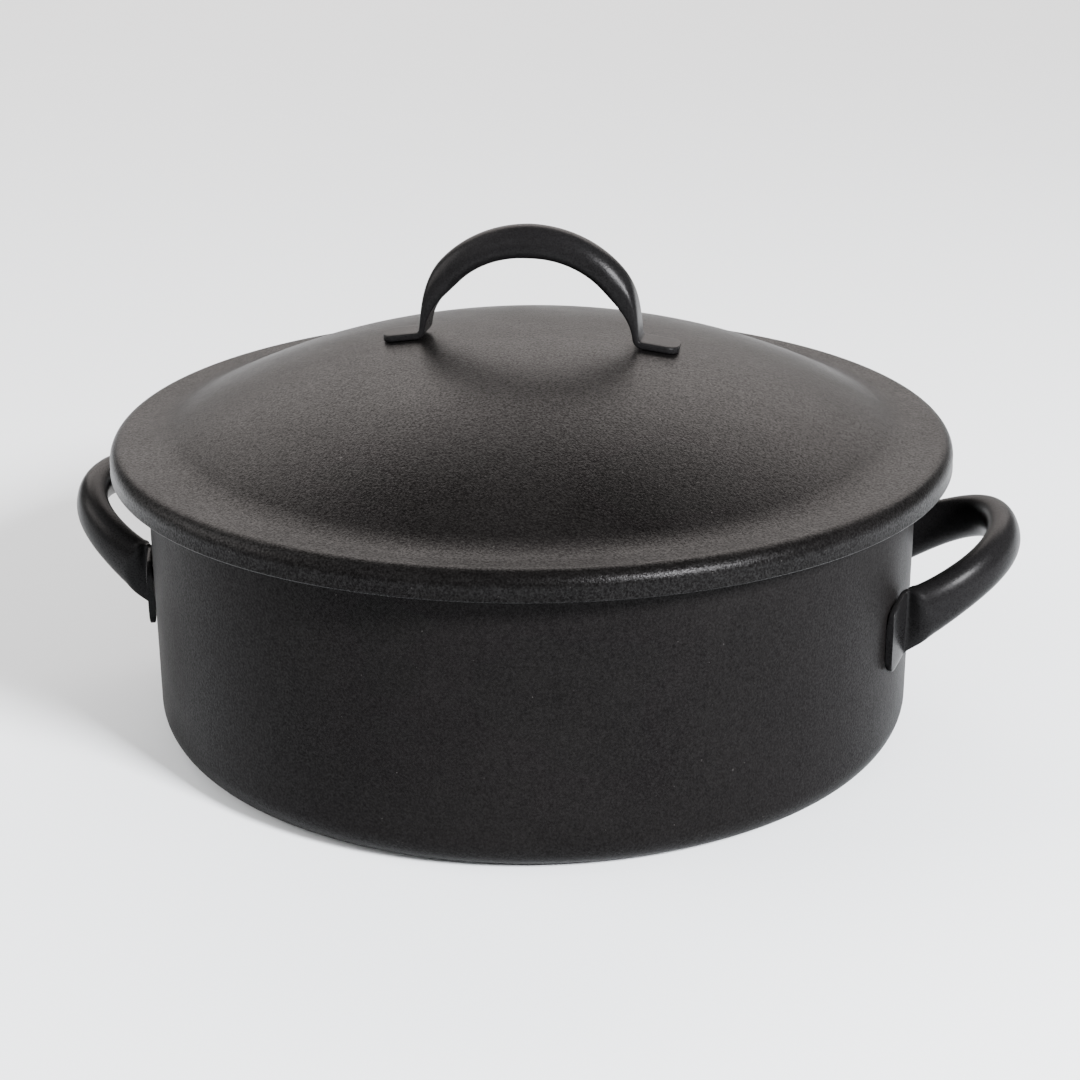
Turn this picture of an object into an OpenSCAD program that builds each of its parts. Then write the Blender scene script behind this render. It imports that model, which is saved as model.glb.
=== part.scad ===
// Covered round casserole: a drawn sheet-iron pot with two loop handles and a pressed lid with an arch handle.
// Millimetres, +Z up. The origin is the centre of the base, on the surface the pot stands on.
// The side handles stand out along +X and -X, and the lid handle runs along X.

/* [Sheet] */
// Thickness of the iron sheet of the pot and the lid
sheet_t = 1.6; // [1.2:0.1:2]

/* [Pot] */
// Outside diameter of the wall
pot_d = 257; // [250:1:257]
// Height of the rim's top above the base
rim_z = 99.7; // [90:0.1:105]
// Outside radius of the corner between wall and base
corner_r = 11; // [6:0.5:16]
// How far the rolled rim stands out past the wall
rim_out = 8.4; // [7.5:0.1:8.4]
// Outside diameter of the roll at the rim's edge
rim_roll_d = 6.6; // [6:0.1:7]

/* [Lid] */
// Outside diameter of the lid over its turned-down edge
lid_d = 280; // [280:0.5:284]
// Gap between the lid's underside and the rim
lid_gap = 0.3; // [0.2:0.1:0.5]
// Outside radius of the turned-down edge
edge_r = 5; // [4:0.5:6]
// Height of the turned-down edge, brim top to lower lip
skirt_h = 8.9; // [8:0.1:12]
// Rise of the dome above the brim
dome_h = 29.6; // [20:0.1:34]
// Radius at which the dome would meet the brim with no blend
dome_r = 124; // [121:0.5:124]
// How full the dome is: 2 is a paraboloid, more is flatter on top
dome_fullness = 2.3; // [2:0.1:2.8]
// Radius at which the blend from dome to brim starts
blend_r = 118; // [117:0.5:119]

/* [Handle feet] */
// Thickness of the flattened feet
foot_t = 2.3; // [1.8:0.1:2.6]
// Gap between a foot and the sheet, set by the weld projections
weld_gap = 0.3; // [0.2:0.05:0.4]
// Diameter of a weld nugget
weld_d = 4.5; // [3:0.5:5]
// Corner radius of the feet
foot_corner_r = 4; // [2:0.5:5]

/* [Side handles] */
// Half the distance between the two bends of a side handle, along Y
side_half = 39.5; // [36:0.5:46]
// Distance from the wall to the middle of the grip's nose
side_reach = 28.5; // [24:0.5:34]
// Height of the bar's middle at the bends
side_z = 48.5; // [45:0.5:60]
// Upward slope of the loop, in degrees
side_slope = 29.5; // [10:0.5:35]
// Height of the flattened bar at the feet
side_foot_w = 22; // [16:0.5:24]
// Height of the bar at the nose
side_grip_w = 14.6; // [12:0.2:16]
// Thickness of the bar at the nose
side_grip_t = 10.6; // [8:0.2:11]
// Length of each foot along the wall, from the bend to its tip
side_foot_l = 12; // [9:0.5:15]
// Angle by which both side handles sit behind the pot's middle, in degrees; 0 sets them opposite each other
side_skew = 4; // [0:0.5:6]

/* [Lid handle] */
// Half the distance between the two bends of the lid handle
arch_half = 37.5; // [34:0.5:42]
// Rise of the arch's middle line above its bends
arch_h = 32.6; // [28:0.2:40]
// Width of the lid handle's bar, across the arch
arch_w = 12.5; // [11:0.5:14]
// Thickness of the lid handle's bar at the top of the arch
arch_t = 10.8; // [8:0.2:12]
// Length of each foot, from the bend to its tip
arch_foot_l = 12; // [9:0.5:14]

/* [Hidden] */
$fn = 180;

// Colours
pot_colour = [0.13, 0.125, 0.125];
lid_colour = [0.2, 0.19, 0.185];
handle_colour = [0.08, 0.08, 0.085];
weld_colour = [0.3, 0.29, 0.28];

// Derived sizes
pot_r = pot_d / 2;
lid_r = lid_d / 2;
brim_z = rim_z + lid_gap + sheet_t;
bend_r = foot_t;
weld_bite = 0.5;
rim_fillet_r = 2.2;
rim_curl_end = -165;

// Steps along the curves
ARC_STEP = 7.5;
DOME_STEPS = 24;
RING_SIDES = 20;

function smooth(t) = let (c = min(max(t, 0), 1)) c * c * (3 - 2 * c);
function unit(v) = v / norm(v);
function arc(centre, r, from, to) =
    let (n = max(1, ceil(abs(to - from) / ARC_STEP)))
    [for (i = [0:n]) let (a = from + (to - from) * i / n) centre + r * [cos(a), sin(a)]];
function bezier(p, t) =
    let (s = 1 - t)
    s * s * s * p[0] + 3 * s * s * t * p[1] + 3 * s * t * t * p[2] + t * t * t * p[3];

// Unit vector to the left of a flat path at point i
function left_of(path, i) =
    let (d = unit(path[min(i + 1, len(path) - 1)] - path[max(i - 1, 0)])) [-d[1], d[0]];
// Closed outline of a sheet that has path as one side and lies off to its left, or its right if off < 0
function beside(path, i, off) = let (p = path[i] + off * left_of(path, i)) [max(p[0], 0), p[1]];
function sheet_outline(path, off) = concat(path, [for (i = [len(path) - 1:-1:0]) beside(path, i, off)]);

// Flat base, rounded corner, straight wall, and a rim rolled outwards and under
module pot_shell() {
    base_r = pot_r - corner_r;
    roll_r = rim_roll_d / 2;
    outside = concat(
        [[0, 0]],
        arc([base_r, corner_r], corner_r, -90, 0),
        arc([pot_r + rim_fillet_r, rim_z - sheet_t - rim_fillet_r], rim_fillet_r, 180, 90),
        arc([pot_r + rim_out - roll_r, rim_z - roll_r], roll_r - sheet_t, 90, rim_curl_end)
    );
    color(pot_colour) rotate_extrude() polygon(sheet_outline(outside, sheet_t));
}

function dome_z(r) = brim_z + dome_h * (1 - pow(r / dome_r, dome_fullness));
function dome_slope(r) = atan(dome_fullness * dome_h / dome_r * pow(r / dome_r, dome_fullness - 1));

// Dome, concave blend, flat brim and turned-down edge
module lid_shell() {
    slope = dome_slope(blend_r);
    blend_curve_r = (dome_z(blend_r) - brim_z) / (1 - cos(slope));
    outside = concat(
        [for (i = [0:DOME_STEPS]) let (r = blend_r * i / DOME_STEPS) [r, dome_z(r)]],
        arc([blend_r + blend_curve_r * sin(slope), brim_z + blend_curve_r], blend_curve_r, -90 - slope, -90),
        arc([lid_r - edge_r, brim_z - edge_r], edge_r, 90, 0),
        [[lid_r, brim_z - skirt_h]]
    );
    color(lid_colour) rotate_extrude() polygon(sheet_outline(outside, -sheet_t));
}

// A bar swept along points. Each entry of bar is
// [point, half width, half thickness, squareness, width axis, how far the axis is turned square to the path].
// Bias moves the bar's widest line across its thickness, over the half thickness.
function squircle(x, squareness) = sign(x) * pow(abs(x), 2 / squareness);
function biased(s, bias) = s + bias * (1 - s * s);
function bar_ring(bar, i, bias) =
    let (
        b = bar[i],
        along = unit(bar[min(i + 1, len(bar) - 1)][0] - bar[max(i - 1, 0)][0]),
        wide = unit(b[4] - b[5] * along * (along * b[4])),
        thick = unit(cross(along, wide))
    )
    [
        for (k = [0:RING_SIDES - 1])
            let (a = 360 * k / RING_SIDES)
            b[0] + b[1] * squircle(cos(a), b[3]) * wide + b[2] * biased(squircle(sin(a), b[3]), bias) * thick
    ];
module swept_bar(bar, bias) {
    last = len(bar) - 1;
    sides = [
        for (i = [0:last - 1], k = [0:RING_SIDES - 1])
            let (n = (k + 1) % RING_SIDES, a = i * RING_SIDES, b = a + RING_SIDES)
            each [[a + k, b + k, b + n], [a + k, b + n, a + n]]
    ];
    ends = [
        [for (k = [0:RING_SIDES - 1]) k],
        [for (k = [RING_SIDES - 1:-1:0]) last * RING_SIDES + k]
    ];
    polyhedron([for (i = [0:last]) each bar_ring(bar, i, bias)], concat(ends, sides), convexity = 6);
}

// Distances from a foot's tip, and the half widths there: a rounded end, then straight
FOOT_SQUARENESS = 7;
GRIP_SQUARENESS = 2.2;
CORNER_STEPS = 5;
EDGE_STEPS = 4;
function foot_stations(length, half_w) =
    concat(
        [
            for (k = [0:CORNER_STEPS])
                let (a = 90 * k / CORNER_STEPS)
                [foot_corner_r * (1 - cos(a)), half_w - foot_corner_r * (1 - sin(a))]
        ],
        [for (k = [1:EDGE_STEPS - 1]) [foot_corner_r + (length - foot_corner_r) * k / EDGE_STEPS, half_w]]
    );
// Half a bar, from a foot's tip to the middle of the grip, and its mirror image after it
function flipped(v, m) = [v[0] * m[0], v[1] * m[1], v[2] * m[2]];
function mirrored(half, m) =
    concat(half, [
        for (i = [len(half) - 2:-1:0])
            let (b = half[i])
            [flipped(b[0], m), b[1], b[2], b[3], flipped(b[4], m), b[5]]
    ]);

// Side handle: feet along the wall, bends, and one loop that rises as it leaves the wall
side_mid_r = pot_r + weld_gap + foot_t / 2;
side_bend_a = asin(side_half / side_mid_r);
side_bend_u = side_mid_r * cos(side_bend_a);
side_lean_in = 20;
side_flare = 0.22;
side_turn = 0.4;
side_bar_lean = 20;
// Lengths of the loop's curve handles over side_half, at the bend and at the nose
side_run = 0.15;
side_round = 0.81;
// How fast the bar narrows from the foot's height to the grip's
side_narrowing = 3.5;
// Where the welds sit on a foot: from the bend to the tip, and off the bar's middle, over the foot's size
side_weld_at = 0.55;
weld_spread = 0.25;
SIDE_STEPS = 22;
function side_point(plan) = [plan[0], plan[1], side_z + tan(side_slope) * (plan[0] - side_bend_u)];
function side_thickness(w) = let (s = smooth(w / side_flare)) foot_t / 2 + (side_grip_t - foot_t) / 2 * s;
function side_half_bar() =
    let (
        up = [0, 0, 1],
        foot = [
            for (f = foot_stations(side_foot_l, side_foot_w / 2))
                let (a = side_bend_a + (side_foot_l - f[0]) / side_mid_r * 180 / PI)
                [side_point(side_mid_r * [cos(a), sin(a)]), f[1], foot_t / 2, FOOT_SQUARENESS, up, 0]
        ],
        bend_path = arc(
            (side_mid_r + bend_r) * [cos(side_bend_a), sin(side_bend_a)], bend_r,
            side_bend_a - 180, -side_lean_in - 90
        ),
        bend = [for (p = bend_path) [side_point(p), side_foot_w / 2, foot_t / 2, FOOT_SQUARENESS, up, 0]],
        start = bend_path[len(bend_path) - 1],
        nose_u = side_mid_r + side_reach,
        loop = [
            start, start + side_run * side_half * [cos(side_lean_in), -sin(side_lean_in)],
            [nose_u, side_round * side_half], [nose_u, 0]
        ],
        grip = [
            for (i = [1:SIDE_STEPS])
                let (w = i / SIDE_STEPS, lean = side_bar_lean * w)
                [
                    side_point(bezier(loop, w)),
                    side_grip_w / 2 + (side_foot_w - side_grip_w) / 2 * pow(1 - w, side_narrowing),
                    side_thickness(w),
                    GRIP_SQUARENESS + (FOOT_SQUARENESS - GRIP_SQUARENESS) * (1 - smooth(w / side_flare)),
                    [-sin(lean), 0, cos(lean)],
                    smooth(w / side_turn)
                ]
        ]
    )
    concat(foot, bend, grip);
module side_handle() {
    color(handle_colour) swept_bar(mirrored(side_half_bar(), [1, -1, 1]), 0);
}
module side_handle_welds() {
    a = side_bend_a + side_weld_at * side_foot_l / side_mid_r * 180 / PI;
    middle = side_point(side_mid_r * [cos(a), sin(a)])[2];
    color(weld_colour)
        for (side = [-1, 1], up = [-1, 1])
            rotate([0, 0, side * a])
                translate([pot_r - weld_bite, 0, middle + up * weld_spread * side_foot_w])
                    rotate([0, 90, 0])
                        cylinder(d = weld_d, h = weld_gap + 2 * weld_bite);
}

// Lid handle: feet flat on the dome, bends, and one arch
arch_mid_r = arch_half + arch_foot_l / 2;
arch_slope = dome_slope(arch_mid_r);
arch_lean_in = 6;
arch_flare = 0.42;
// Lengths of the arch's curve handles over arch_half, at the bend and at the top
arch_run = 0.47;
arch_round = 0.51;
// Thickness of the arch by the bends over its thickness at the top
arch_taper = 0.77;
// Diameter of a lid weld over weld_d
arch_weld = 0.75;
// The arch is flatter on its inside
arch_bias = 0.45;
ARCH_STEPS = 22;
function arch_foot_point(out, off) =
    [arch_mid_r, dome_z(arch_mid_r)] + out * [cos(arch_slope), -sin(arch_slope)]
    + off * [sin(arch_slope), cos(arch_slope)];
function arch_half_bar() =
    let (
        across = [0, 1, 0],
        middle = weld_gap + foot_t / 2,
        foot = [
            for (f = foot_stations(arch_foot_l, arch_w / 2))
                let (p = arch_foot_point(arch_foot_l / 2 - f[0], middle))
                [[p[0], 0, p[1]], f[1], foot_t / 2, FOOT_SQUARENESS, across, 1]
        ],
        bend_path = arc(
            arch_foot_point(-arch_foot_l / 2, middle + bend_r), bend_r, 270 - arch_slope, 180 + arch_lean_in
        ),
        bend = [for (p = bend_path) [[p[0], 0, p[1]], arch_w / 2, foot_t / 2, FOOT_SQUARENESS, across, 1]],
        start = bend_path[len(bend_path) - 1],
        top = start[1] - bend_r + arch_h,
        curve = [
            start, start + arch_run * arch_half * [-sin(arch_lean_in), cos(arch_lean_in)],
            [arch_round * arch_half, top], [0, top]
        ],
        grip = [
            for (i = [1:ARCH_STEPS])
                let (w = i / ARCH_STEPS, s = smooth(w / arch_flare), p = bezier(curve, w))
                [
                    [p[0], 0, p[1]],
                    arch_w / 2,
                    foot_t / 2 * (1 - s) + arch_t / 2 * (arch_taper + (1 - arch_taper) * w) * s,
                    GRIP_SQUARENESS + (FOOT_SQUARENESS - GRIP_SQUARENESS) * (1 - s),
                    across,
                    1
                ]
        ]
    )
    concat(foot, bend, grip);
module lid_handle() {
    color(handle_colour) swept_bar(mirrored(arch_half_bar(), [-1, 1, 1]), arch_bias);
}
module lid_handle_welds() {
    p = arch_foot_point(0, -weld_bite);
    color(weld_colour)
        for (side = [0, 180], across = [-1, 1])
            rotate([0, 0, side])
                translate([p[0], across * weld_spread * arch_w, p[1]])
                    rotate([0, arch_slope, 0])
                        cylinder(d = arch_weld * weld_d, h = weld_gap + 2 * weld_bite);
}

pot_shell();
rotate([0, 0, side_skew]) side_handle();  // side_handle_right
rotate([0, 0, 180 - side_skew]) side_handle();  // side_handle_left
rotate([0, 0, side_skew]) side_handle_welds();  // side_handle_right_welds
rotate([0, 0, 180 - side_skew]) side_handle_welds();  // side_handle_left_welds
lid_shell();
lid_handle();
lid_handle_welds();
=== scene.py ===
import math

import bpy
from mathutils import Matrix, Vector


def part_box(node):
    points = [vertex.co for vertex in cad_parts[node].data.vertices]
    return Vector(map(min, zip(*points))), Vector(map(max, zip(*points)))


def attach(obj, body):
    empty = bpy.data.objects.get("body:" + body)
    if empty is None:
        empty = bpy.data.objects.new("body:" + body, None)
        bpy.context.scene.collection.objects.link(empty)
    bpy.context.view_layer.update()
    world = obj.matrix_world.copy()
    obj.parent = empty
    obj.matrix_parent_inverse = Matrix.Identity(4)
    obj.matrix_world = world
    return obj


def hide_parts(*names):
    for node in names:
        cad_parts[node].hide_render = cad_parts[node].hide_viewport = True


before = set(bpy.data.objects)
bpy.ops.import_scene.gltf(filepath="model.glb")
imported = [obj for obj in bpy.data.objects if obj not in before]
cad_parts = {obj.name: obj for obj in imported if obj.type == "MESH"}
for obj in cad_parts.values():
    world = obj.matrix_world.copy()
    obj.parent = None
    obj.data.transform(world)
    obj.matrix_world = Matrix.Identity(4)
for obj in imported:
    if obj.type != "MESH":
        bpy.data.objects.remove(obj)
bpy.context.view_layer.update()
MM = 0.001

# ---------------------------------------------------------------- sizes, in millimetres
# The shells and bars repeat the CAD's driving sizes. The overall ones are read from the CAD nodes.
pot_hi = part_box("pot_shell")[1]
lid_lo, lid_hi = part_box("lid_shell")
SHEET = 1.6
POT_R = 128.5
RIM_Z = pot_hi.z / MM
CORNER_R = 11.0
RIM_OUT = 8.4
ROLL_R = 3.3
ROLL_END_A = -165
RIM_FILLET_R = 2.2
LID_R = min(lid_hi.x, lid_hi.y) / MM
LID_LIP_Z = lid_lo.z / MM
LID_REST_GAP = 0.3
BRIM_Z = RIM_Z + LID_REST_GAP + SHEET
EDGE_R = 5.0
DOME_H, DOME_R, DOME_FULLNESS, BLEND_R = 29.6, 124.0, 2.3, 118.0
# The turned-down edge stands this far inside the lid's full radius, which its lip reaches.
HEM = 0.12
FOOT_T, WELD_GAP, FOOT_CORNER = 2.3, 0.3, 4.0

# ---------------------------------------------------------------- how fine the meshes are
TURNS = 256
RING = 44
BAR_STEPS = 64
CORNER_STEPS = 8
FOOT_STEPS = 10
DOME_STEPS = 60
PROFILE_STEP = 4.0
ARC_STEP = 3.0
BEND_ARC_STEP = 8
ROLL_ARC_STEP = 8
FILLET_ARC_STEP = 10
EDGE_ARC_STEP = 4
BLEND_ARC_STEP = 1.5
FIRST_RING = 0.02
ON_AXIS = 1e-6
SHARP_SHELL, SHARP_BAR = 35, 50


# ---------------------------------------------------------------- small maths
def smooth(t):
    c = min(max(t, 0.0), 1.0)
    return c * c * (3 - 2 * c)


def rad(a):
    return math.radians(a)


def arc(cx, cy, r, a0, a1, step=ARC_STEP):
    n = max(2, math.ceil(abs(a1 - a0) / step))
    return [(cx + r * math.cos(rad(a0 + (a1 - a0) * i / n)), cy + r * math.sin(rad(a0 + (a1 - a0) * i / n)))
            for i in range(n + 1)]


def bezier(p, t):
    s = 1 - t
    return tuple(s * s * s * a + 3 * s * s * t * b + 3 * s * t * t * c + t * t * t * d
                 for a, b, c, d in zip(*p))


def densify(path, step):
    out = [path[0]]
    for a, b in zip(path, path[1:]):
        n = max(1, math.ceil(math.dist(a, b) / step))
        out += [(a[0] + (b[0] - a[0]) * i / n, a[1] + (b[1] - a[1]) * i / n) for i in range(1, n + 1)]
    return out


def offset(path, d):
    """The path moved to its left by d."""
    out = []
    for i, p in enumerate(path):
        a, b = path[max(i - 1, 0)], path[min(i + 1, len(path) - 1)]
        tx, ty = b[0] - a[0], b[1] - a[1]
        k = math.hypot(tx, ty) or 1.0
        out.append((max(p[0] - d * ty / k, 0.0), p[1] + d * tx / k))
    return out


# ---------------------------------------------------------------- mesh builders
def finish_mesh(name, verts, faces, material, body, slot, nodes, sharp=SHARP_SHELL):
    mesh = bpy.data.meshes.new(name)
    mesh.from_pydata([Vector(v) * MM for v in verts], [], faces)
    mesh.validate()
    mesh.update()
    mesh.polygons.foreach_set("use_smooth", [True] * len(mesh.polygons))
    mesh.set_sharp_from_angle(angle=rad(sharp))
    obj = bpy.data.objects.new(name, mesh)
    bpy.context.scene.collection.objects.link(obj)
    mesh.materials.append(material)
    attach(obj, body)
    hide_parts(*nodes)


def lathe(profile, turns=TURNS):
    """A closed profile of (radius, height), turned about Z. Points on the axis become one pole each."""
    verts, rows = [], []
    for r, z in profile:
        if r < ON_AXIS:
            rows.append([len(verts)] * turns)
            verts.append((0, 0, z))
        else:
            rows.append(list(range(len(verts), len(verts) + turns)))
            verts += [(r * math.cos(2 * math.pi * k / turns), r * math.sin(2 * math.pi * k / turns), z)
                      for k in range(turns)]
    faces = []
    n = len(rows)
    for i in range(n):
        a, b = rows[i], rows[(i + 1) % n]
        if a[0] == a[1] and b[0] == b[1]:
            continue
        for k in range(turns):
            m = (k + 1) % turns
            quad = [a[k], a[m], b[m], b[k]]
            quad = [v for j, v in enumerate(quad) if v != quad[j - 1]]
            faces.append(quad)
    return verts, faces


def sweep(bar, bias=0.0):
    """A bar through its stations, closed at both ends.

    A station is (point, half width, half thickness, squareness, width axis, turned). Turned is how far
    the width axis is made square to the path, from 0 to 1. The bias moves the widest line across the
    thickness, so that one side of the bar is flatter.
    """
    verts, faces = [], []
    pts = [Vector(b[0]) for b in bar]
    for i, (_, hw, ht, sq, axis, turned) in enumerate(bar):
        along = (pts[min(i + 1, len(bar) - 1)] - pts[max(i - 1, 0)]).normalized()
        wide = Vector(axis)
        wide = (wide - turned * along * along.dot(wide)).normalized()
        thick = along.cross(wide).normalized()
        for k in range(RING):
            a = 2 * math.pi * k / RING
            c, s = math.cos(a), math.sin(a)
            c = math.copysign(abs(c) ** (2 / sq), c)
            s = math.copysign(abs(s) ** (2 / sq), s)
            s += bias * (1 - s * s)
            verts.append(pts[i] + wide * hw * c + thick * ht * s)
    for i in range(len(bar) - 1):
        for k in range(RING):
            m = (k + 1) % RING
            faces.append([i * RING + k, (i + 1) * RING + k, (i + 1) * RING + m, i * RING + m][::-1])
    for base, flip in ((0, False), ((len(bar) - 1) * RING, True)):
        ring = [base + k for k in range(RING)]
        faces.append(ring[::-1] if flip else ring)
    return verts, faces


def foot_stations(length, half_w):
    """(distance from the foot's end, half width) along a foot with rounded corners."""
    out = []
    for k in range(CORNER_STEPS + 1):
        a = rad(90 * k / CORNER_STEPS)
        out.append((FOOT_CORNER * (1 - math.cos(a)) + FIRST_RING, half_w - FOOT_CORNER * (1 - math.sin(a))))
    out += [(FOOT_CORNER + (length - FOOT_CORNER) * k / FOOT_STEPS, half_w) for k in range(1, FOOT_STEPS)]
    return out


def mirrored(half, m):
    """The half bar and its mirror image, where m holds -1 for the axis that is mirrored."""
    back = [((b[0][0] * m[0], b[0][1] * m[1], b[0][2] * m[2]), b[1], b[2], b[3],
             (b[4][0] * m[0], b[4][1] * m[1], b[4][2] * m[2]), b[5]) for b in half[-2::-1]]
    return half + back


# ---------------------------------------------------------------- side handles
# The reach is 0.07 mm less than the CAD's, so that the finer bar stays inside the CAD's box.
SIDE_HALF, SIDE_REACH, SIDE_Z, SIDE_SLOPE, SIDE_SKEW = 39.5, 28.43, 48.5, 29.5, 4.0
SIDE_FOOT_W, SIDE_GRIP_W, SIDE_GRIP_T, SIDE_FOOT_L = 22.0, 14.6, 10.6, 12.0
SIDE_LEAN_IN, SIDE_FLARE, SIDE_BAR_LEAN, SIDE_RUN, SIDE_ROUND = 20.0, 0.22, 20.0, 0.15, 0.81
SIDE_NARROWING, SIDE_TURN = 3.5, 0.4
SQ_FOOT, SQ_GRIP = 7.0, 2.2
UPRIGHT, ACROSS = (0, 0, 1), (0, 1, 0)
side_mid_r = POT_R + WELD_GAP + FOOT_T / 2
side_bend_a = math.degrees(math.asin(SIDE_HALF / side_mid_r))
side_bend_u = side_mid_r * math.cos(rad(side_bend_a))


def side_point(u, v):
    return (u, v, SIDE_Z + math.tan(rad(SIDE_SLOPE)) * (u - side_bend_u))


def side_half_bar():
    bar = []
    for off, hw in foot_stations(SIDE_FOOT_L, SIDE_FOOT_W / 2):
        a = rad(side_bend_a) + (SIDE_FOOT_L - off) / side_mid_r
        point = side_point(side_mid_r * math.cos(a), side_mid_r * math.sin(a))
        bar.append((point, hw, FOOT_T / 2, SQ_FOOT, UPRIGHT, 0))
    bend_r = FOOT_T
    cu = (side_mid_r + bend_r) * math.cos(rad(side_bend_a))
    cv = (side_mid_r + bend_r) * math.sin(rad(side_bend_a))
    bend = arc(cu, cv, bend_r, side_bend_a - 180, -SIDE_LEAN_IN - 90, BEND_ARC_STEP)
    bar += [(side_point(*p), SIDE_FOOT_W / 2, FOOT_T / 2, SQ_FOOT, UPRIGHT, 0) for p in bend]
    start, nose = bend[-1], side_mid_r + SIDE_REACH
    run = SIDE_RUN * SIDE_HALF
    leaving = (start[0] + run * math.cos(rad(SIDE_LEAN_IN)), start[1] - run * math.sin(rad(SIDE_LEAN_IN)))
    loop = [start, leaving, (nose, SIDE_ROUND * SIDE_HALF), (nose, 0.0)]
    for i in range(1, BAR_STEPS + 1):
        w = i / BAR_STEPS
        s = smooth(w / SIDE_FLARE)
        lean = rad(SIDE_BAR_LEAN * w)
        bar.append((side_point(*bezier(loop, w)),
                    SIDE_GRIP_W / 2 + (SIDE_FOOT_W - SIDE_GRIP_W) / 2 * (1 - w) ** SIDE_NARROWING,
                    FOOT_T / 2 + (SIDE_GRIP_T - FOOT_T) / 2 * s,
                    SQ_GRIP + (SQ_FOOT - SQ_GRIP) * (1 - s),
                    (-math.sin(lean), 0, math.cos(lean)), smooth(w / SIDE_TURN)))
    return bar


# ---------------------------------------------------------------- lid handle
ARCH_HALF, ARCH_H, ARCH_W, ARCH_T, ARCH_FOOT_L = 37.5, 32.6, 12.5, 10.8, 12.0
ARCH_LEAN_IN, ARCH_FLARE, ARCH_RUN, ARCH_ROUND, ARCH_TAPER = 6.0, 0.42, 0.47, 0.51, 0.77
ARCH_BIAS = 0.45


def dome_z(r):
    return BRIM_Z + DOME_H * (1 - (r / DOME_R) ** DOME_FULLNESS)


def dome_slope(r):
    return math.degrees(math.atan(DOME_FULLNESS * DOME_H / DOME_R * (r / DOME_R) ** (DOME_FULLNESS - 1)))


arch_mid_r = ARCH_HALF + ARCH_FOOT_L / 2
arch_slope = dome_slope(arch_mid_r)


def arch_foot_point(out, off):
    s, c = math.sin(rad(arch_slope)), math.cos(rad(arch_slope))
    return (arch_mid_r + out * c + off * s, dome_z(arch_mid_r) - out * s + off * c)


def arch_half_bar():
    bar, middle = [], WELD_GAP + FOOT_T / 2
    for off, hw in foot_stations(ARCH_FOOT_L, ARCH_W / 2):
        x, z = arch_foot_point(ARCH_FOOT_L / 2 - off, middle)
        bar.append(((x, 0, z), hw, FOOT_T / 2, SQ_FOOT, ACROSS, 1))
    bend_r = FOOT_T
    cx, cz = arch_foot_point(-ARCH_FOOT_L / 2, middle + bend_r)
    bend = arc(cx, cz, bend_r, 270 - arch_slope, 180 + ARCH_LEAN_IN, BEND_ARC_STEP)
    bar += [((x, 0, z), ARCH_W / 2, FOOT_T / 2, SQ_FOOT, ACROSS, 1) for x, z in bend]
    start = bend[-1]
    top = start[1] - bend_r + ARCH_H
    run = ARCH_RUN * ARCH_HALF
    leaving = (start[0] - run * math.sin(rad(ARCH_LEAN_IN)), start[1] + run * math.cos(rad(ARCH_LEAN_IN)))
    curve = [start, leaving, (ARCH_ROUND * ARCH_HALF, top), (0.0, top)]
    for i in range(1, BAR_STEPS + 1):
        w = i / BAR_STEPS
        s = smooth(w / ARCH_FLARE)
        x, z = bezier(curve, w)
        bar.append(((x, 0, z), ARCH_W / 2,
                    FOOT_T / 2 * (1 - s) + ARCH_T / 2 * (ARCH_TAPER + (1 - ARCH_TAPER) * w) * s,
                    SQ_GRIP + (SQ_FOOT - SQ_GRIP) * (1 - s), ACROSS, 1))
    return bar


# ---------------------------------------------------------------- materials
class Nodes:
    """A short way to write a node graph."""

    def __init__(self, name):
        self.mat = bpy.data.materials.new(name)
        self.mat.use_nodes = True
        self.tree = self.mat.node_tree
        self.bsdf = self.tree.nodes["Principled BSDF"]
        self.coord = self.tree.nodes.new("ShaderNodeTexCoord").outputs["Object"]

    def link(self, a, b):
        self.tree.links.new(a, b)

    def noise(self, scale, detail=2.0, rough=0.5):
        n = self.tree.nodes.new("ShaderNodeTexNoise")
        n.inputs["Scale"].default_value = scale
        n.inputs["Detail"].default_value = detail
        n.inputs["Roughness"].default_value = rough
        self.link(self.coord, n.inputs["Vector"])
        return n.outputs["Fac"]

    def ramp(self, fac, stops):
        n = self.tree.nodes.new("ShaderNodeMapRange")
        n.inputs["From Min"].default_value, n.inputs["From Max"].default_value = stops[0], stops[1]
        n.inputs["To Min"].default_value, n.inputs["To Max"].default_value = stops[2], stops[3]
        self.link(fac, n.inputs["Value"])
        return n.outputs["Result"]

    def math(self, op, a, b):
        n = self.tree.nodes.new("ShaderNodeMath")
        n.operation = op
        for socket, v in zip(n.inputs, (a, b)):
            if isinstance(v, (int, float)):
                socket.default_value = v
            else:
                self.link(v, socket)
        return n.outputs[0]

    def mix(self, fac, a, b):
        n = self.tree.nodes.new("ShaderNodeMix")
        n.data_type = "RGBA"
        for socket, v in ((n.inputs["Factor"], fac), (n.inputs[6], a), (n.inputs[7], b)):
            if isinstance(v, (int, float)):
                socket.default_value = v
            elif isinstance(v, tuple):
                socket.default_value = (*v, 1)
            else:
                self.link(v, socket)
        return n.outputs[2]

    def bump(self, height, strength, distance, normal=None):
        n = self.tree.nodes.new("ShaderNodeBump")
        n.inputs["Strength"].default_value = strength
        n.inputs["Distance"].default_value = distance
        self.link(height, n.inputs["Height"])
        if normal:
            self.link(normal, n.inputs["Normal"])
        return n.outputs["Normal"]


SPECK = (0.025, 0.0235, 0.0225)
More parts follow.
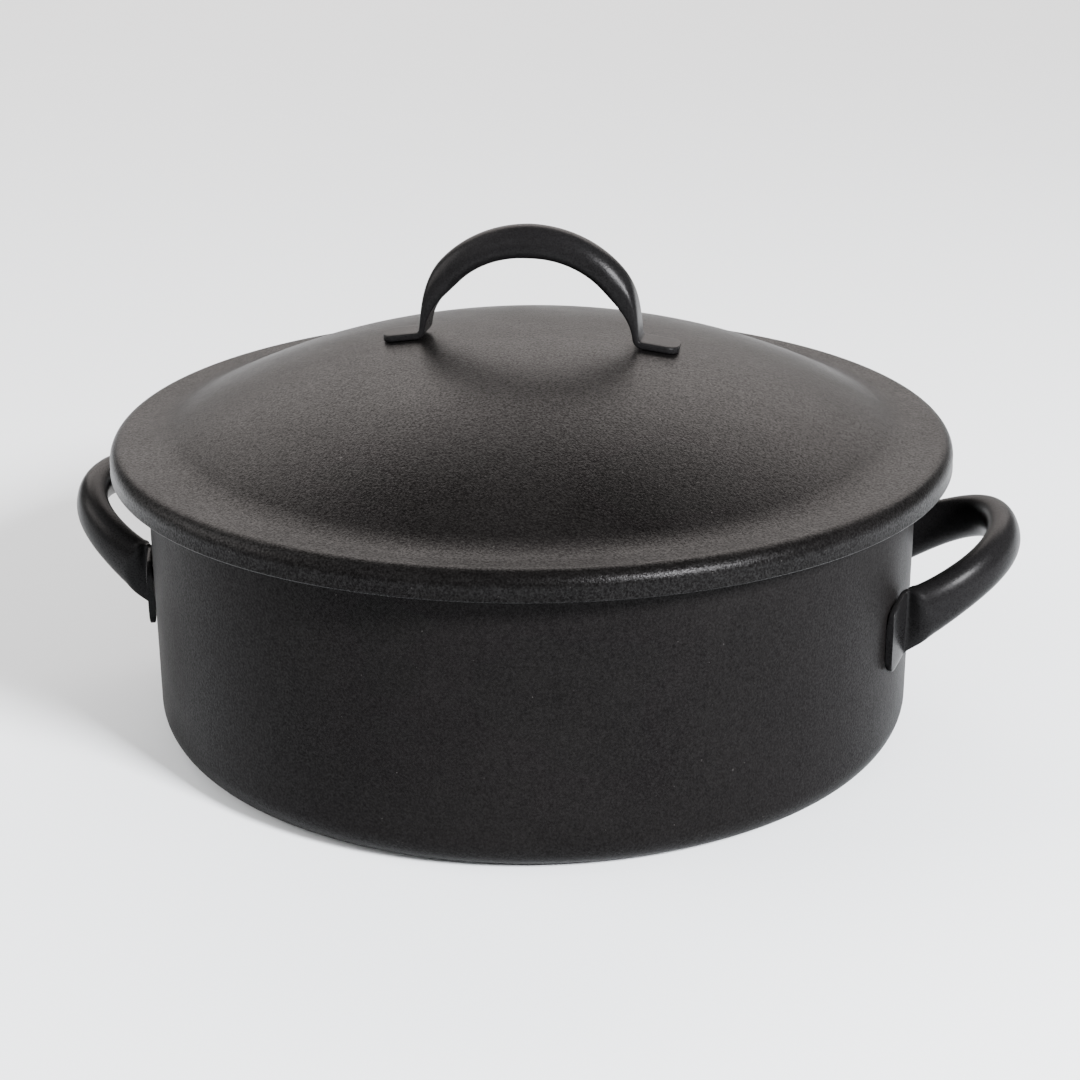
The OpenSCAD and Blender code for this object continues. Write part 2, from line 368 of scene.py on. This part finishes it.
# Noise scales: the coarse grain and the specks are shares of the grain's own; the rest are per metre.
COARSE_SHARE, SPECK_SHARE = 0.42, 0.8
BROAD_SCALE, WAVE_SCALE = 28, 90
GRAIN_PART, COARSE_PART = 0.6, 0.4
GRAIN_HALF_RANGE = 0.14
GRAIN_TONE = 0.85
BROAD_LOW, BROAD_HIGH, BROAD_DARKER, BROAD_LIGHTER = 0.35, 0.65, -0.1, 0.22
SPECK_EDGE = 0.04
ROUGH_SWING = 0.06
ROUGH_LOW, ROUGH_HIGH = 0.7, 1.3
IOR_GRAIN_LOW, IOR_GRAIN_HIGH = 0.36, 0.64
GRAIN_DEPTH = 0.00035
WAVE_STRENGTH, WAVE_DEPTH = 0.04, 0.001


def coat(name, dark, light, rough, ior, grain_scale, grain_bump, contrast=1.0, sheen=0.15, speck_at=0.85):
    """A sandy, matte baked coat: fine grain in two sizes and sparse pale specks.

    The grain tints and lifts the surface. It also moves the IOR by the share that sheen gives.
    """
    g = Nodes(name)
    grain = g.noise(grain_scale, 2.0, 0.7)
    coarse = g.noise(grain_scale * COARSE_SHARE, 2.0, 0.6)
    broad = g.noise(BROAD_SCALE, 3.0, 0.6)
    both = g.math("ADD", g.math("MULTIPLY", grain, GRAIN_PART), g.math("MULTIPLY", coarse, COARSE_PART))
    half = GRAIN_HALF_RANGE / contrast
    tone = g.math("ADD", g.ramp(both, (0.5 - half, 0.5 + half, 0.0, GRAIN_TONE)),
                  g.ramp(broad, (BROAD_LOW, BROAD_HIGH, BROAD_DARKER, BROAD_LIGHTER)))
    dots = g.ramp(g.noise(grain_scale * SPECK_SHARE, 0.0, 0.5), (speck_at, speck_at + SPECK_EDGE, 0.0, 1.0))
    g.link(g.mix(dots, g.mix(tone, dark, light), SPECK), g.bsdf.inputs["Base Color"])
    rough_stops = (ROUGH_LOW, ROUGH_HIGH, rough - ROUGH_SWING, rough + ROUGH_SWING)
    g.link(g.ramp(g.math("ADD", grain, broad), rough_stops), g.bsdf.inputs["Roughness"])
    low, high = 1 + (ior - 1) * (1 - sheen), 1 + (ior - 1) * (1 + sheen)
    g.link(g.ramp(grain, (IOR_GRAIN_LOW, IOR_GRAIN_HIGH, low, high)), g.bsdf.inputs["IOR"])
    fine = g.bump(both, grain_bump, GRAIN_DEPTH)
    g.link(g.bump(g.noise(WAVE_SCALE, 2.0), WAVE_STRENGTH, WAVE_DEPTH, fine), g.bsdf.inputs["Normal"])
    return g.mat


lid_mat = coat("lid_coat", (0.0011, 0.0010, 0.00098), (0.0040, 0.0037, 0.0036), rough=0.34, ior=1.143,
               grain_scale=1400, grain_bump=0.45, contrast=0.7, sheen=0.38)
pot_mat = coat("pot_coat", (0.0029, 0.00265, 0.00265), (0.0061, 0.0056, 0.0055), rough=0.45, ior=1.097,
               grain_scale=1400, grain_bump=0.38, contrast=0.8, sheen=0.3, speck_at=0.87)
handle_mat = coat("handle_coat", (0.0034, 0.0033, 0.0034), (0.0066, 0.0064, 0.0066), rough=0.31, ior=1.138,
                  grain_scale=2000, grain_bump=0.16, contrast=1.0, sheen=0.18, speck_at=0.9)
weld_mat = coat("weld_coat", (0.003, 0.0029, 0.0028), (0.009, 0.0087, 0.0084), rough=0.45, ior=1.15,
                grain_scale=1500, grain_bump=0.3)

# ---------------------------------------------------------------- pot
roll_x, roll_z = POT_R + RIM_OUT - ROLL_R, RIM_Z - ROLL_R
outside = ([(0.0, 0.0)] + arc(POT_R - CORNER_R, CORNER_R, CORNER_R, -90, 0)
           + arc(POT_R + RIM_FILLET_R, RIM_Z - SHEET - RIM_FILLET_R, RIM_FILLET_R, 180, 90, FILLET_ARC_STEP)
           + arc(roll_x, roll_z, ROLL_R - SHEET, 90, ROLL_END_A, ROLL_ARC_STEP))
outside = densify(outside, PROFILE_STEP)
pot_profile = outside + offset(outside, SHEET)[::-1]
finish_mesh("pot", *lathe(pot_profile), pot_mat, "pot", "pot_iron", ["pot_shell"])

# ---------------------------------------------------------------- lid
# The lip's bead, as heights above the lip's lowest line and how far in its two corners are.
BEAD_FOOT, BEAD_SWELL, BEAD_TOP, BEAD_BOTTOM = 1.5, 1.2, 0.75, 0.35
BEAD_SWELL_SHARE = 0.4
LIP_CHAMFER = 0.25
UNDER_LIP = 0.5
slope = dome_slope(BLEND_R)
blend_r = (dome_z(BLEND_R) - BRIM_Z) / (1 - math.cos(rad(slope)))
skirt_r = LID_R - HEM
top = [(BLEND_R * i / DOME_STEPS, dome_z(BLEND_R * i / DOME_STEPS)) for i in range(DOME_STEPS + 1)]
top += arc(BLEND_R + blend_r * math.sin(rad(slope)), BRIM_Z + blend_r, blend_r, -90 - slope, -90,
           BLEND_ARC_STEP)[1:]
top += arc(skirt_r - EDGE_R, BRIM_Z - EDGE_R, EDGE_R, 90, 0, EDGE_ARC_STEP)
lip = [(skirt_r, LID_LIP_Z + BEAD_FOOT), (skirt_r + HEM * BEAD_SWELL_SHARE, LID_LIP_Z + BEAD_SWELL),
       (LID_R, LID_LIP_Z + BEAD_TOP), (LID_R, LID_LIP_Z + BEAD_BOTTOM), (LID_R - LIP_CHAMFER, LID_LIP_Z)]
under = offset(top + [(skirt_r, LID_LIP_Z + UNDER_LIP)], -SHEET)
under[-1] = (skirt_r - SHEET, LID_LIP_Z + LIP_CHAMFER)
lid_profile = densify(top + lip, PROFILE_STEP) + [(skirt_r - SHEET + LIP_CHAMFER, LID_LIP_Z)] + under[::-1]
finish_mesh("lid", *lathe(lid_profile[::-1]), lid_mat, "lid", "lid_iron", ["lid_shell"])

# ---------------------------------------------------------------- handles
v, f = sweep(mirrored(side_half_bar(), (1, -1, 1)))
for name, node, angle in (("side_grip_right", "side_handle_right", SIDE_SKEW),
                          ("side_grip_left", "side_handle_left", 180 - SIDE_SKEW)):
    turn = Matrix.Rotation(rad(angle), 3, "Z")
    finish_mesh(name, [turn @ p for p in v], f, handle_mat, "pot", "handle_iron", [node], SHARP_BAR)
v, f = sweep(mirrored(arch_half_bar(), (-1, 1, 1)), ARCH_BIAS)
finish_mesh("lid_grip", v, f, handle_mat, "lid", "handle_iron", ["lid_handle"], SHARP_BAR)
for node in ("side_handle_right_welds", "side_handle_left_welds", "lid_handle_welds"):
    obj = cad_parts[node]
    obj.data.materials.clear()
    obj.data.materials.append(weld_mat)

# ---------------------------------------------------------------- floor
FLOOR = 6.0
FLOOR_DARK, FLOOR_LIGHT = (0.87, 0.905, 0.925), (0.89, 0.925, 0.945)
FLOOR_SCALE, FLOOR_ROUGH, FLOOR_IOR = 6, 0.9, 1.2
mesh = bpy.data.meshes.new("floor")
mesh.from_pydata([(-FLOOR, -FLOOR, 0), (FLOOR, -FLOOR, 0), (FLOOR, FLOOR, 0), (-FLOOR, FLOOR, 0)],
                 [], [(0, 1, 2, 3)])
floor = bpy.data.objects.new("floor", mesh)
bpy.context.scene.collection.objects.link(floor)
g = Nodes("floor")
g.link(g.mix(g.noise(FLOOR_SCALE, 3.0), FLOOR_DARK, FLOOR_LIGHT), g.bsdf.inputs["Base Color"])
g.bsdf.inputs["Roughness"].default_value = FLOOR_ROUGH
g.bsdf.inputs["IOR"].default_value = FLOOR_IOR
mesh.materials.append(g.mat)

# ---------------------------------------------------------------- light
WORLD_STRENGTH = 0.41
CAM_AZ = 10.34
AIM = Vector((0, 0, 0.08))
WHITE, WARM = (1, 1, 1), (1, 0.92, 0.885)
world = bpy.data.worlds.new("studio")
bpy.context.scene.world = world
world.use_nodes = True
world.node_tree.nodes["Background"].inputs["Color"].default_value = (*WHITE, 1)
world.node_tree.nodes["Background"].inputs["Strength"].default_value = WORLD_STRENGTH


def panel(name, azimuth, elevation, distance, width, height, power, colour=WHITE):
    """A soft panel that faces the pot. Azimuth is from the camera's side, to the right."""
    light = bpy.data.lights.new(name, "AREA")
    light.shape = "RECTANGLE"
    light.size, light.size_y, light.energy, light.color = width, height, power, colour
    obj = bpy.data.objects.new(name, light)
    bpy.context.scene.collection.objects.link(obj)
    a, e = rad(azimuth + CAM_AZ), rad(elevation)
    back = Vector((math.sin(a) * math.cos(e), -math.cos(a) * math.cos(e), math.sin(e)))
    obj.location = AIM + back * distance
    obj.rotation_mode = "QUATERNION"
    obj.rotation_quaternion = back.to_track_quat("Z", "Y")


panel("back_low", 180, 20, 4.5, 6.0, 2.0, 72, WARM)
panel("back_high", 180, 42, 4.5, 6.0, 2.0, 222, WARM)
panel("left_low", -92, 25, 3.0, 2.0, 1.2, 62.6, (1, 0.95, 0.93))
panel("left_high", -90, 50, 1.8, 1.0, 1.0, 7.4)
panel("front_left", -40, 30, 1.8, 0.8, 0.8, 5.6)
panel("key", 40, 31, 1.8, 0.35, 0.35, 150, (0.98, 0.975, 1))

# ---------------------------------------------------------------- camera
# The camera stands ELEV above the horizon and CAM_AZ round to the right of the pot's front, and it
# looks at a point AIM_SIDE to the right of the pot's axis. Lengths are in millimetres.
ELEV, DIST, ROLL = rad(20.68), 743.14, rad(-0.33)
ORBIT_Z, AIM_SIDE, AIM_Z = 60, 2.62, 58.51
LENS, SENSOR = 72.2, 36
CLIP_NEAR, CLIP_FAR = 0.01, 50
a = rad(CAM_AZ)
place = Vector((DIST * math.cos(ELEV) * math.sin(a), -DIST * math.cos(ELEV) * math.cos(a),
                ORBIT_Z + DIST * math.sin(ELEV)))
target = Vector((AIM_SIDE * math.cos(a), AIM_SIDE * math.sin(a), AIM_Z))
forward = (target - place).normalized()
right = forward.cross(Vector((0, 0, 1))).normalized()
up = right.cross(forward)
r2 = math.cos(ROLL) * right + math.sin(ROLL) * up
u2 = -math.sin(ROLL) * right + math.cos(ROLL) * up
cam_data = bpy.data.cameras.new("camera")
cam_data.sensor_width = SENSOR
cam_data.lens = LENS
cam_data.clip_start, cam_data.clip_end = CLIP_NEAR, CLIP_FAR
cam = bpy.data.objects.new("camera", cam_data)
bpy.context.scene.collection.objects.link(cam)
basis = Matrix((r2, u2, -forward)).transposed().to_4x4()
cam.matrix_world = Matrix.Translation(place * MM) @ basis
bpy.context.scene.camera = cam
